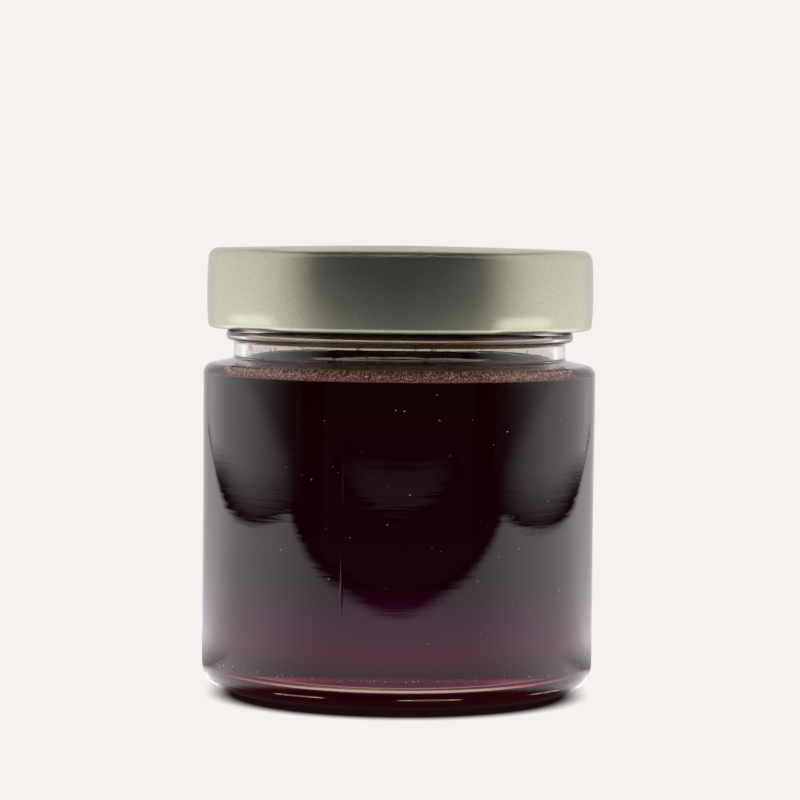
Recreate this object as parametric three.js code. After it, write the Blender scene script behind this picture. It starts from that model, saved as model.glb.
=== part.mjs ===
import * as THREE from "three";

// A shut jar of dark red honey: a clear straight-sided glass jar, the honey inside it up to the
// shoulder, and a deep twist-off lid of pale gold tinplate held by four lugs.
// Millimetres, +Z up. The origin is the middle of the base, on the floor. An azimuth is measured
// from the front (-Y) towards the right (+X).

// Driving dimensions, in mm
const TOTAL_HEIGHT = 84.6;
const BODY_RADIUS = 37.3;
const SHOULDER_BAND_RADIUS = 37.5; // the band above the label panel stands a little proud
const WALL = 2.3;
const FIT_GAP = 0.3; // kept between neighbouring pieces

// Base of the glass
const HEEL_ROUND = 5;
const PUSH_UP = 2.6; // height of the hollow under the base, at its middle
const PUSH_UP_FLAT_RADIUS = 24; // the hollow keeps about this height out to here
const BEARING_INNER_RADIUS = 30.7;
const CAVITY_FLOOR_MIDDLE = 5.9;
const CAVITY_FLOOR_EDGE = 4.4;
const CAVITY_CORNER_ROUND = 5.8;
const FLOOR_CROWN_RADIUS = 20; // the cavity's floor rises inside this radius
const FLOOR_CROWN_FOOT = 5;

// Label panel and shoulder
const PANEL_TOP = 40;
const BAND_BOTTOM = 54;
const SHOULDER_ROUND = 2;
const SHOULDER_ROUND_CENTRE = 60.1;
const SHOULDER_SLOPE_DEGREES = 16;
const SHOULDER_UNDERSIDE = 61;
const SHOULDER_INNER_ROUND = 2;

// Neck and thread finish
const NECK_FOOT_RADIUS = 31.7;
const NECK_GROOVE_RADIUS = 31.4;
const NECK_GROOVE_HEIGHT = 65.6;
const NECK_FILLET = 1;
const BEAD_RADIUS = 33.2; // the ring under the lid's edge, by which the jar is carried when made
const BEAD_HEIGHT = 67.8;
// The bead's outline, upwards: how far in from BEAD_RADIUS and how far above BEAD_HEIGHT
const BEAD_OUTLINE = [[1.65, -1.3], [0.4, -0.75], [0, -0.3], [0, 0.5], [0.6, 1.2]];
const FINISH_RADIUS = 32.6;
const BORE_RADIUS = 29.3;
const BORE_FILLET = 2.6;
const RIM_TOP = 83.1;
const RIM_OUTER_ROUND = 1.2;
const RIM_INNER_ROUND = 0.8;
const THREAD_RISE = 1.35;
const THREAD_HALF_WIDTH = 1.25;
const THREAD_HIGH = 77.2;
const THREAD_LOW = 72.6;
const THREAD_SPAN = THREE.MathUtils.degToRad(84);
const THREAD_END_SHARE = 0.12; // the part of a thread's length in which each end sinks away
const THREAD_ROWS = 11;

// Honey
const HONEY_LEVEL = 60.2;
const HONEY_DIP = 0.1; // the level is this much lower at the middle than at the wall

// Lid
const LID_RADIUS = 36.83; // at the lower edge
const LID_TAPER = 0.15; // the skirt is this much narrower at its top
const LID_SHEET = 0.42;
const LID_HEIGHT = 15.85;
const LID_CORNER_ROUND = 2;
const LID_CROWN = 0.65; // how far the top rises from its corner to its middle
const LID_FLAT_RADIUS = 12; // the top is nearly flat inside this radius
const CURL_RADIUS = 0.95;
const LUG_COUNT = 4;
const FIRST_LUG_AZIMUTH = THREE.MathUtils.degToRad(40);
const LUG_HALF_ANGLE = THREE.MathUtils.degToRad(13);
const LUG_FLAT_SHARE = 0.45; // the part of a lug's half angle that is pressed in fully
const LUG_PRESS_OUTSIDE = 0.7; // how far the skirt is pressed in over a lug
const LUG_PRESS_INSIDE = 1.9; // how far the curl's inner side is pressed in there
const LUG_FADE_HEIGHT = 3.4; // above this height over the lid's edge the skirt is round again

const SEGMENTS = 60; // round each revolved piece

// Points of an arc round (r, z), from one angle to another in degrees.
function arc(r, z, radius, from, to, steps) {
  const [start, end] = [from, to].map(THREE.MathUtils.degToRad);
  return new THREE.EllipseCurve(r, z, radius, radius, start, end, to < from).getPoints(steps);
}

// Points of a soft bow from a to b, which leaves a towards the control point.
function bow(a, control, b, steps) {
  const [start, middle, end] = [a, control, b].map(([r, z]) => new THREE.Vector2(r, z));
  return new THREE.QuadraticBezierCurve(start, middle, end).getPoints(steps);
}

function at(r, z) {
  return new THREE.Vector2(r, z);
}

// Revolves a profile of (radius, height) points round +Z. Its azimuth starts at the front.
function revolve(profile) {
  return new THREE.LatheGeometry(profile, SEGMENTS).rotateX(Math.PI / 2);
}

// Moves each vertex of a revolved piece in or out, by change(azimuth, radius, height).
function reshape(geometry, change) {
  const position = geometry.getAttribute("position");
  for (let i = 0; i < position.count; i++) {
    const [x, y, z] = [position.getX(i), position.getY(i), position.getZ(i)];
    const radius = Math.hypot(x, y);
    if (radius === 0) continue;
    const scale = 1 + change(Math.atan2(x, -y), radius, z) / radius;
    position.setXYZ(i, x * scale, y * scale, z);
  }
  return geometry;
}

// The smallest turn from one of the lugs' azimuths to this azimuth, from -45 to 45 degrees.
function turnFromLug(azimuth) {
  const pitch = (2 * Math.PI) / LUG_COUNT;
  const turn = THREE.MathUtils.euclideanModulo(azimuth - FIRST_LUG_AZIMUTH + pitch / 2, pitch);
  return turn - pitch / 2;
}

// How far a thread stands out of the neck. Each of the four sinks towards +X as it is followed
// round from the left, and a lug of the lid catches under its low end.
function threadRise(azimuth, z) {
  const along = turnFromLug(azimuth) / THREAD_SPAN + 0.5; // 0 to 1 along the thread
  const height = THREE.MathUtils.lerp(THREAD_HIGH, THREAD_LOW, THREE.MathUtils.clamp(along, 0, 1));
  const across = Math.abs(z - height) / THREAD_HALF_WIDTH;
  if (across >= 1) return 0;
  const ends = THREE.MathUtils.smoothstep(Math.min(along, 1 - along), 0, THREAD_END_SHARE);
  return THREAD_RISE * ends * Math.cos((across * Math.PI) / 2);
}

// The outside of the glass, from the middle of its underside up to the rim.
function glassOutside() {
  const heelCentre = BODY_RADIUS - HEEL_ROUND;
  const cornerCentre = SHOULDER_BAND_RADIUS - SHOULDER_ROUND;
  const cornerEnd = 90 - SHOULDER_SLOPE_DEGREES;
  const slope = THREE.MathUtils.degToRad(SHOULDER_SLOPE_DEGREES);
  const cornerTop = arc(cornerCentre, SHOULDER_ROUND_CENTRE, SHOULDER_ROUND, 0, cornerEnd, 5);
  const { x: slopeRadius, y: slopeHeight } = cornerTop.at(-1);
  const filletRadius = NECK_FOOT_RADIUS + NECK_FILLET;
  const footRadius = filletRadius - NECK_FILLET * Math.sin(slope);
  const footHeight = slopeHeight + (slopeRadius - footRadius) * Math.tan(slope);
  const filletHeight = footHeight + NECK_FILLET * Math.cos(slope);
  const taper = [0, 0.25, 0.5, 0.75, 1].map((share) =>
    at(
      THREE.MathUtils.lerp(BODY_RADIUS, SHOULDER_BAND_RADIUS, THREE.MathUtils.smoothstep(share, 0, 1)),
      THREE.MathUtils.lerp(PANEL_TOP, BAND_BOTTOM, share),
    ),
  );
  const threadBottom = THREAD_LOW - THREAD_HALF_WIDTH;
  const threadTop = THREAD_HIGH + THREAD_HALF_WIDTH;
  const threadRows = Array.from({ length: THREAD_ROWS }, (_, row) =>
    at(FINISH_RADIUS, THREE.MathUtils.lerp(threadBottom, threadTop, row / (THREAD_ROWS - 1))),
  );
  return [
    ...bow([0, PUSH_UP], [PUSH_UP_FLAT_RADIUS, PUSH_UP], [BEARING_INNER_RADIUS, 0], 5),
    ...arc(heelCentre, HEEL_ROUND, HEEL_ROUND, -90, 0, 7),
    ...taper,
    ...cornerTop,
    ...arc(filletRadius, filletHeight, NECK_FILLET, 270 - SHOULDER_SLOPE_DEGREES, 180, 3),
    at(NECK_GROOVE_RADIUS, NECK_GROOVE_HEIGHT),
    ...BEAD_OUTLINE.map(([inset, rise]) => at(BEAD_RADIUS - inset, BEAD_HEIGHT + rise)),
    ...threadRows,
    ...arc(FINISH_RADIUS - RIM_OUTER_ROUND, RIM_TOP - RIM_OUTER_ROUND, RIM_OUTER_ROUND, 0, 90, 3),
  ];
}

// The low crown in the cavity's floor, from its middle outwards, raised by a gap.
function floorCrown(gap) {
  const middle = CAVITY_FLOOR_MIDDLE + gap;
  const foot = [FLOOR_CROWN_RADIUS, FLOOR_CROWN_FOOT + gap];
  return bow([0, middle], [FLOOR_CROWN_RADIUS / 2, middle], foot, 2);
}

// The inside of the glass, from the rim down to the middle of the cavity's floor.
function glassInside() {
  const boreFillet = BORE_RADIUS + BORE_FILLET;
  const cavityRadius = BODY_RADIUS - WALL;
  const innerCorner = cavityRadius - SHOULDER_INNER_ROUND;
  const floorCorner = cavityRadius - CAVITY_CORNER_ROUND;
  const cornerHeight = SHOULDER_UNDERSIDE - SHOULDER_INNER_ROUND;
  const rimCentre = RIM_TOP - RIM_INNER_ROUND;
  return [
    ...arc(BORE_RADIUS + RIM_INNER_ROUND, rimCentre, RIM_INNER_ROUND, 90, 180, 2),
    ...arc(boreFillet, SHOULDER_UNDERSIDE + BORE_FILLET, BORE_FILLET, 180, 270, 4),
    ...arc(innerCorner, cornerHeight, SHOULDER_INNER_ROUND, 90, 0, 4),
    ...arc(floorCorner, CAVITY_FLOOR_EDGE + CAVITY_CORNER_ROUND, CAVITY_CORNER_ROUND, 0, -90, 6),
    ...floorCrown(0).reverse(),
  ];
}

function makeGlass() {
  const glass = revolve([...glassOutside(), ...glassInside()]);
  const isFinish = (radius, z) => radius > FINISH_RADIUS - RIM_OUTER_ROUND && z > BEAD_HEIGHT;
  return reshape(glass, (azimuth, radius, z) => (isFinish(radius, z) ? threadRise(azimuth, z) : 0));
}

// The honey follows the cavity at the fit gap, and ends in its level surface.
function makeHoney() {
  const cavityRadius = BODY_RADIUS - WALL;
  const floorCorner = cavityRadius - CAVITY_CORNER_ROUND;
  const floorRound = CAVITY_CORNER_ROUND - FIT_GAP;
  const floorHeight = CAVITY_FLOOR_EDGE + CAVITY_CORNER_ROUND;
  const topRound = SHOULDER_INNER_ROUND - FIT_GAP;
  const topCentre = SHOULDER_UNDERSIDE - SHOULDER_INNER_ROUND;
  const topAngle = THREE.MathUtils.radToDeg(Math.asin((HONEY_LEVEL - topCentre) / topRound));
  return revolve([
    ...floorCrown(FIT_GAP),
    ...arc(floorCorner, floorHeight, floorRound, -90, 0, 6),
    ...arc(cavityRadius - SHOULDER_INNER_ROUND, topCentre, topRound, 0, topAngle, 2),
    at(cavityRadius - SHOULDER_INNER_ROUND, HONEY_LEVEL - HONEY_DIP / 2),
    at(0, HONEY_LEVEL - HONEY_DIP),
  ]);
}

// How much of a lug's press there is at an azimuth: 1 in its middle, 0 beyond its ends.
function lugShare(azimuth) {
  const turn = Math.abs(turnFromLug(azimuth));
  return 1 - THREE.MathUtils.smoothstep(turn, LUG_HALF_ANGLE * LUG_FLAT_SHARE, LUG_HALF_ANGLE);
}

function makeLid() {
  const lidBottom = TOTAL_HEIGHT - LID_HEIGHT;
  const curlCentre = lidBottom + CURL_RADIUS;
  const topRadius = LID_RADIUS - LID_TAPER;
  const cornerCentre = topRadius - LID_CORNER_ROUND;
  const edgeHeight = TOTAL_HEIGHT - LID_CROWN;
  const cornerHeight = edgeHeight - LID_CORNER_ROUND;
  const fadeHeight = lidBottom + LUG_FADE_HEIGHT;
  const ceiling = TOTAL_HEIGHT - LID_SHEET;
  const lid = revolve([
    ...bow([0, ceiling], [LID_FLAT_RADIUS, ceiling], [cornerCentre, edgeHeight - LID_SHEET], 4),
    ...arc(cornerCentre, cornerHeight, LID_CORNER_ROUND - LID_SHEET, 90, 0, 3).slice(1),
    at(LID_RADIUS - LID_SHEET, fadeHeight),
    ...arc(LID_RADIUS - CURL_RADIUS, curlCentre, CURL_RADIUS, 60, 360, 10),
    at(LID_RADIUS, (curlCentre + fadeHeight) / 2),
    at(LID_RADIUS, fadeHeight),
    ...arc(cornerCentre, cornerHeight, LID_CORNER_ROUND, 0, 90, 5),
    ...bow([cornerCentre, edgeHeight], [LID_FLAT_RADIUS, TOTAL_HEIGHT], [0, TOTAL_HEIGHT], 5).slice(1),
  ]);
  return reshape(lid, (azimuth, radius, z) => {
    if (radius < cornerCentre - CURL_RADIUS || z > fadeHeight) return 0;
    const inward = (LID_RADIUS - radius) / (2 * CURL_RADIUS);
    const press = THREE.MathUtils.lerp(LUG_PRESS_OUTSIDE, LUG_PRESS_INSIDE, inward);
    const fade = 1 - THREE.MathUtils.smoothstep(z, curlCentre, fadeHeight);
    return -press * fade * lugShare(azimuth);
  });
}

const materials = {
  glass: new THREE.MeshStandardMaterial({
    color: 0xeef2f0,
    roughness: 0.02,
    metalness: 0,
    transparent: true,
    opacity: 0.35,
  }),
  honey: new THREE.MeshStandardMaterial({ color: 0x2a0508, roughness: 0.08, metalness: 0 }),
  lid: new THREE.MeshStandardMaterial({ color: 0xc9c4a8, roughness: 0.3, metalness: 1 }),
};

function piece(name, geometry, material) {
  const mesh = new THREE.Mesh(geometry, material);
  mesh.name = name;
  return mesh;
}

const honeyJar = new THREE.Group();
honeyJar.add(piece("glass_jar", makeGlass(), materials.glass));
honeyJar.add(piece("honey", makeHoney(), materials.honey));
honeyJar.add(piece("lid", makeLid(), materials.lid));

export default honeyJar;
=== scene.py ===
# %% [markdown]
# # A shut jar of dark honey
# The jar is three things that were made apart: a blown glass jar, the honey that was poured into
# it, and a pressed tinplate lid. This lesson dresses them one at a time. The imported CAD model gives
# their true sizes, and each cell below adds one surface or one finish.

# %% The frame and its sizes
import math

import bmesh
import bpy
import numpy as np
from mathutils import Matrix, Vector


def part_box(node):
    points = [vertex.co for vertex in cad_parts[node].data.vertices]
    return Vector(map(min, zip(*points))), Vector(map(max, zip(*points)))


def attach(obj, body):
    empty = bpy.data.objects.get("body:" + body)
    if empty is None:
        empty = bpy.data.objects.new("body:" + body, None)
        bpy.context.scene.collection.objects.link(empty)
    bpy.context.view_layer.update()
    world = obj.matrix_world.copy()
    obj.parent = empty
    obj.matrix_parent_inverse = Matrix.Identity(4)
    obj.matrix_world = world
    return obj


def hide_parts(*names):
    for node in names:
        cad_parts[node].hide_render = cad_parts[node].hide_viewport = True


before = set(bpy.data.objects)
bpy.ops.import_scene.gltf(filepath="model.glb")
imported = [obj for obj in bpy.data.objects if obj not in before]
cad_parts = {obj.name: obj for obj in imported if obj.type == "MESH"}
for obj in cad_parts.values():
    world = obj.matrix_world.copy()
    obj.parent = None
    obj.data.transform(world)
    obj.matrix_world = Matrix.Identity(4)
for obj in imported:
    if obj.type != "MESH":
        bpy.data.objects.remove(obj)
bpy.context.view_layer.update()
MM = 0.001  # Blender works in metres, and the shapes below are worked out in millimetres


def node_size_mm(node):
    """The largest radius, the lowest and the highest point of a CAD node, in mm."""
    low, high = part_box(node)
    return high[0] / MM, low[2] / MM, high[2] / MM


GLASS_RADIUS, _, RIM_TOP = node_size_mm("glass_jar")
HONEY_RADIUS, _, HONEY_LEVEL = node_size_mm("honey")
LID_RADIUS, LID_BOTTOM, LID_TOP = node_size_mm("lid")
print(f"glass {GLASS_RADIUS:.2f} x {RIM_TOP:.2f}, honey {HONEY_RADIUS:.2f} up to {HONEY_LEVEL:.2f}")
print(f"lid {LID_RADIUS:.2f}, from {LID_BOTTOM:.2f} to {LID_TOP:.2f}")

# %% [markdown]
# ## The camera comes first
# A long lens was used from a little above the lid, so the upright sides stay almost parallel and
# the base shows as a shallow curve. A focal length in pixels is the one number that sets the lens:
# 36 mm of sensor cover the 800 pixels of the picture. The picture was taken with a small roll.

# %% Camera
PICTURE_WIDTH = 800
SENSOR_WIDTH = 36.0
FOCAL_PIXELS = 3321.0
CAMERA_DISTANCE = 636.0  # mm, from the jar's axis
CAMERA_ABOVE_LID = 2.9  # mm
CAMERA_PITCH = math.radians(2.922)  # looking down
CAMERA_ROLL = math.radians(0.58)  # turns the jar clockwise in the picture
CAMERA_YAW = math.radians(0.014)  # puts the jar's axis just left of the middle

camera_data = bpy.data.cameras.new("camera")
camera_data.sensor_width = SENSOR_WIDTH
camera_data.lens = FOCAL_PIXELS * SENSOR_WIDTH / PICTURE_WIDTH
camera_data.clip_start = 0.01
camera = bpy.data.objects.new("camera", camera_data)
camera_place = Matrix.Translation((0.0, -CAMERA_DISTANCE * MM, (LID_TOP + CAMERA_ABOVE_LID) * MM))
camera_turn = (
    Matrix.Rotation(-CAMERA_YAW, 4, "Z")
    @ Matrix.Rotation(math.radians(90) - CAMERA_PITCH, 4, "X")
    @ Matrix.Rotation(CAMERA_ROLL, 4, "Z")
)
camera.matrix_world = camera_place @ camera_turn
bpy.context.scene.collection.objects.link(camera)
bpy.context.scene.camera = camera
print(f"lens {camera_data.lens:.1f} mm, {CAMERA_DISTANCE:.0f} mm from the axis")

# %% [markdown]
# ## Profiles
# Glass, honey and lid are all turned shapes, so each is a profile of (radius, height) points that
# is carried round the upright axis. Three small functions draw every profile: an arc, a straight
# stretch and a bow. A profile runs with the material on its left, which turns its faces outwards.


# %% Profile helpers
def arc(radius, height, bend, start, stop, count):
    """Points on a circle: (radius + bend*cos t, height + bend*sin t), t from start to stop degrees."""
    turn = np.radians(np.linspace(start, stop, count))
    return np.stack([radius + bend * np.cos(turn), height + bend * np.sin(turn)], axis=1)


def straight(start, stop, count):
    """Points from start to stop: start*(1 - t) + stop*t, with t from 0 to 1."""
    share = np.linspace(0.0, 1.0, count)[:, None]
    return np.asarray(start) * (1.0 - share) + np.asarray(stop) * share


def bow(start, control, stop, count):
    """Points of a quadratic curve: (1-t)^2*start + 2t(1-t)*control + t^2*stop."""
    t = np.linspace(0.0, 1.0, count)[:, None]
    ends = (1.0 - t) ** 2 * np.asarray(start) + t**2 * np.asarray(stop)
    return ends + 2.0 * t * (1.0 - t) * np.asarray(control)


def ease(values, low, high):
    """Goes softly from 0 at low to 1 at high: t*t*(3 - 2t), with t held between 0 and 1."""
    t = np.clip((np.asarray(values) - low) / (high - low), 0.0, 1.0)
    return t * t * (3.0 - 2.0 * t)


def join(*stretches):
    """One profile from several stretches, without the points that lie on each other."""
    points = np.concatenate([np.atleast_2d(stretch) for stretch in stretches])
    step = np.linalg.norm(np.diff(points, axis=0), axis=1)
    return points[np.concatenate([[True], step > 1e-4])]


# %% [markdown]
# ## From a profile to a mesh
# Ring i of the mesh is the profile's point i carried round the axis. The grid of points comes from
# two arrays, the profile and the azimuths, so no loop visits a vertex. Azimuth 0 is the front.


# %% Surfaces of revolution
def evenly_round(count):
    """Azimuths in radians, from 0 up to a full turn, without the last."""
    return np.arange(count) * (2.0 * math.pi / count)


def turned(profile, azimuth, change=None):
    """Vertices (mm) and faces of a profile whose two ends lie on the axis.

    A grid point is (r*sin a, -r*cos a, z), with r and z from the profile and a from the azimuths.
    change(a, r, z) gives the distances that are added to r and to z.
    """
    segments = len(azimuth)
    inner = profile[1:-1]
    radius = np.repeat(inner[:, :1], segments, axis=1)
    height = np.repeat(inner[:, 1:], segments, axis=1)
    around = np.broadcast_to(azimuth, radius.shape)
    if change is not None:
        outwards, upwards = change(around, radius, height)
        radius = radius + outwards
        height = height + upwards
    grid = np.stack([radius * np.sin(around), -radius * np.cos(around), height], axis=2)
    poles = np.array([[0.0, 0.0, profile[0, 1]], [0.0, 0.0, profile[-1, 1]]])
    vertices = np.concatenate([grid.reshape(-1, 3), poles])
    index = np.arange(len(inner) * segments).reshape(len(inner), segments)
    ahead = np.roll(index, -1, axis=1)
    quads = np.stack([index[:-1], ahead[:-1], ahead[1:], index[1:]], axis=2).reshape(-1, 4)
    first_pole = np.full(segments, len(vertices) - 2)
    last_pole = np.full(segments, len(vertices) - 1)
    caps = [
        np.stack([first_pole, ahead[0], index[0]], axis=1),
        np.stack([index[-1], ahead[-1], last_pole], axis=1),
    ]
    return vertices, quads.tolist() + np.concatenate(caps).tolist()


def new_piece(name, vertices_mm, faces, body="root"):
    """A smooth mesh object at the origin, from vertices in mm, that rides on a CAD body."""
    mesh = bpy.data.meshes.new(name)
    mesh.from_pydata((np.asarray(vertices_mm) * MM).tolist(), [], faces)
    mesh.polygons.foreach_set("use_smooth", np.ones(len(mesh.polygons), dtype=bool))
    mesh.update()
    piece = bpy.data.objects.new(name, mesh)
    bpy.context.scene.collection.objects.link(piece)
    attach(piece, body)
    print(f"{name}: {len(mesh.vertices)} vertices, {len(mesh.polygons)} faces")
    return piece


# %% [markdown]
# ## The glass jar
# A blown jar has a heavy base with a pushed-up middle, a rounded heel, a label panel that lies a
# tenth of a millimetre back from the shoulder band, a low shoulder, a neck with a bead, and four
# thread starts that a lid's lugs slide under. Clear glass needs both of its faces, because light
# bends at each, so its wall is one closed surface. A thin sheet with Solidify would make the heavy
# base as thin as the wall.

# %% The outline of the glass
PANEL_SET_BACK = 0.1
PANEL_RADIUS = GLASS_RADIUS - PANEL_SET_BACK
WALL = 2.4
HEEL_ROUND = 5.0
PUSH_UP = 2.2
PUSH_UP_FLAT_RADIUS = 24.0
BEARING_INNER_RADIUS = 30.7
PANEL_TOP, BAND_BOTTOM = 36.0, 56.0
SHOULDER_ROUND = 2.0
SHOULDER_ROUND_CENTRE = 60.1
SHOULDER_SLOPE = 12.0  # degrees
SHOULDER_UNDERSIDE = 61.0
INNER_SHOULDER_ROUND = 2.0
NECK_FOOT_RADIUS = 31.74
NECK_FOOT = (NECK_FOOT_RADIUS, 63.7)
NECK_TOP = (31.68, 65.9)
NECK_BEND = (31.68, 66.35)  # the bow from the neck out to the bead is drawn towards this point
NECK_FILLET = 0.45
BEAD_RADIUS, BEAD_HEIGHT = 33.2, 67.3
FINISH_RADIUS = 32.6
RIM_OUTER_ROUND, RIM_INNER_ROUND = 1.2, 0.8
BORE_RADIUS = 29.3
BORE_FILLET = 1.3
CAVITY_RADIUS = PANEL_RADIUS - WALL
CAVITY_CORNER = 5.8
CAVITY_WALL_TOP = 58.0
CAVITY_FLOOR_EDGE, CAVITY_FLOOR_MIDDLE = 4.0, 5.4
FLOOR_CROWN_FOOT = (20.0, 4.6)
FLOOR_CROWN_BEND = 10.0
SHOULDER_CENTRE = (CAVITY_RADIUS - INNER_SHOULDER_ROUND, SHOULDER_UNDERSIDE - INNER_SHOULDER_ROUND)
CORNER_CENTRE = (CAVITY_RADIUS - CAVITY_CORNER, CAVITY_FLOOR_EDGE + CAVITY_CORNER)


def neck_foot():
    """The sloping shoulder and the fillet that lifts it into the neck."""
    slope = math.radians(SHOULDER_SLOPE)
    corner_radius = GLASS_RADIUS - SHOULDER_ROUND
    corner = arc(corner_radius, SHOULDER_ROUND_CENTRE, SHOULDER_ROUND, 0, 90 - SHOULDER_SLOPE, 22)
    fillet_radius = NECK_FOOT_RADIUS + NECK_FILLET
    foot_radius = fillet_radius - NECK_FILLET * math.sin(slope)
    foot_height = corner[-1, 1] + (corner[-1, 0] - foot_radius) * math.tan(slope)
    fillet_height = foot_height + NECK_FILLET * math.cos(slope)
    fillet = arc(fillet_radius, fillet_height, NECK_FILLET, 270 - SHOULDER_SLOPE, 185, 12)
    return join(corner, straight(corner[-1], fillet[0], 8), fillet)


def outside_of_glass():
    """The outer half of the glass profile, from the middle of its underside up to the rim."""
    share = np.linspace(0.0, 1.0, 16)
    band = PANEL_RADIUS + (GLASS_RADIUS - PANEL_RADIUS) * ease(share, 0.0, 1.0)
    taper = np.stack([band, PANEL_TOP + (BAND_BOTTOM - PANEL_TOP) * share], axis=1)
    heel_centre = PANEL_RADIUS - HEEL_ROUND
    heel_angles = ((-90, -66, 8), (-66, -24, 44), (-24, 0, 12))  # finest where the ridges are
    bead_foot = (BEAD_RADIUS - 0.55, BEAD_HEIGHT - 0.85)
    bead_side = (BEAD_RADIUS, BEAD_HEIGHT)
    finish_foot = (FINISH_RADIUS, BEAD_HEIGHT + 1.4)
    rim_height = RIM_TOP - RIM_OUTER_ROUND
    return join(
        bow((0.0, PUSH_UP), (PUSH_UP_FLAT_RADIUS, PUSH_UP), (BEARING_INNER_RADIUS, 0.0), 16),
        straight((BEARING_INNER_RADIUS, 0.0), (heel_centre, 0.0), 6),
        *[arc(heel_centre, HEEL_ROUND, HEEL_ROUND, *angles) for angles in heel_angles],
        straight((PANEL_RADIUS, HEEL_ROUND), (PANEL_RADIUS, PANEL_TOP), 5),
        taper,
        neck_foot(),
        straight(NECK_FOOT, NECK_TOP, 8),
        bow(NECK_TOP, NECK_BEND, bead_foot, 10),
        bow(bead_foot, (BEAD_RADIUS, BEAD_HEIGHT - 0.6), bead_side, 8),
        bow(bead_side, (BEAD_RADIUS, BEAD_HEIGHT + 0.9), finish_foot, 8),
        straight(finish_foot, (FINISH_RADIUS, rim_height), 44),
        arc(FINISH_RADIUS - RIM_OUTER_ROUND, rim_height, RIM_OUTER_ROUND, 0, 90, 8),
    )


def inside_of_glass():
    """The inner half, from the rim down to the middle of the cavity's floor."""
    fillet_height = SHOULDER_UNDERSIDE + BORE_FILLET
    rim_height = RIM_TOP - RIM_INNER_ROUND
    return join(
        arc(BORE_RADIUS + RIM_INNER_ROUND, rim_height, RIM_INNER_ROUND, 90, 180, 8),
        straight((BORE_RADIUS, RIM_TOP - 1.0), (BORE_RADIUS, fillet_height), 6),
        arc(BORE_RADIUS + BORE_FILLET, fillet_height, BORE_FILLET, 180, 270, 14),
        arc(*SHOULDER_CENTRE, INNER_SHOULDER_ROUND, 90, 0, 14),
        straight((CAVITY_RADIUS, CAVITY_WALL_TOP), (CAVITY_RADIUS, CORNER_CENTRE[1]), 6),
        arc(*CORNER_CENTRE, CAVITY_CORNER, 0, -90, 20),
        bow(FLOOR_CROWN_FOOT, (FLOOR_CROWN_BEND, CAVITY_FLOOR_MIDDLE), (0.0, CAVITY_FLOOR_MIDDLE), 8),
    )


# %% [markdown]
# Some of the glass changes with azimuth, so the grid adds a distance to its radius or its height. A
# thread is a raised cosine across its width that sinks as it goes round. The mould leaves a fine
# ridge up each side and round the heel, and a ring of small marks that the base stands on.

# %% Threads on the finish
THREAD_STARTS = 4
FIRST_LUG = math.radians(40.0)
THREAD_RISE = 1.35
THREAD_HALF_WIDTH = 1.25
THREAD_HIGH, THREAD_LOW = 77.2, 72.6
THREAD_SPAN = math.radians(84.0)
THREAD_END_SHARE = 0.12  # the part of a thread's length in which each end sinks away


def turn_from_lug(azimuth):
    """The smallest turn from a lug of the lid to this azimuth, in radians."""
    pitch = 2.0 * math.pi / THREAD_STARTS
    return np.mod(azimuth - FIRST_LUG + pitch / 2.0, pitch) - pitch / 2.0


def thread_rise(azimuth, radius, height):
    """How far the glass stands out: rise * cos(pi/2 * across) over the width of each thread."""
    along = turn_from_lug(azimuth) / THREAD_SPAN + 0.5
    middle = THREAD_HIGH + (THREAD_LOW - THREAD_HIGH) * np.clip(along, 0.0, 1.0)
    across = np.clip(np.abs(height - middle) / THREAD_HALF_WIDTH, 0.0, 1.0)
    ends = ease(np.minimum(along, 1.0 - along), 0.0, THREAD_END_SHARE)
    on_finish = (radius > FINISH_RADIUS - 0.01) & (height > BEAD_HEIGHT + 1.3)
    return np.where(on_finish, THREAD_RISE * ends * np.cos(across * math.pi / 2.0), 0.0)


# %% Marks of the mould
SEAM_AZIMUTH = math.radians(-15.8)  # one seam, and the other is opposite
SEAM_RISE, SEAM_HALF_WIDTH = 0.05, 0.14
BASE_SEAMS = [(2.1, 0.13), (1.2, 0.10)]  # the height and the rise of each ridge round the heel
BASE_SEAM_HALF_WIDTH = 0.20
KNURL_MARKS = 80
KNURL_DEPTH = 0.16
KNURL_RADIUS = BEARING_INNER_RADIUS + 0.7
KNURL_HALF_WIDTH = 0.6


def hump(distance, half_width):
    """A bell of height 1: exp(-(distance / half_width)^2)."""
    return np.exp(-((distance / half_width) ** 2))


def mould_marks(azimuth, radius, height):
    """The rise of the side seams and of the heel's ridges, and the valleys between the knurl marks.

    A ridge is a bell across its line. A valley is half of 1 - cos(marks * azimuth).
    """
    turn = np.mod(azimuth - SEAM_AZIMUTH + math.pi / 2.0, math.pi) - math.pi / 2.0
    on_body = radius > PANEL_RADIUS - 0.3
    side = SEAM_RISE * hump(turn * radius, SEAM_HALF_WIDTH) * on_body
    on_heel = (radius > PANEL_RADIUS - HEEL_ROUND) & (height < HEEL_ROUND)
    base = np.zeros_like(height)
    for order, (level, rise) in enumerate(BASE_SEAMS):
        broken = 0.6 + 0.4 * np.sin(azimuth * (9 + 4 * order) + 2.0 * order)
        base += rise * broken * hump(height - level, BASE_SEAM_HALF_WIDTH) * on_heel
    on_bearing = hump(radius - KNURL_RADIUS, KNURL_HALF_WIDTH) * (height < 0.01)
    valley = KNURL_DEPTH * on_bearing * (0.5 - 0.5 * np.cos(KNURL_MARKS * azimuth))
    return side + base, valley


def glass_relief(azimuth, radius, height):
    """Threads and mould marks together."""
    outwards, upwards = mould_marks(azimuth, radius, height)
    return outwards + thread_rise(azimuth, radius, height), upwards


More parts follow.
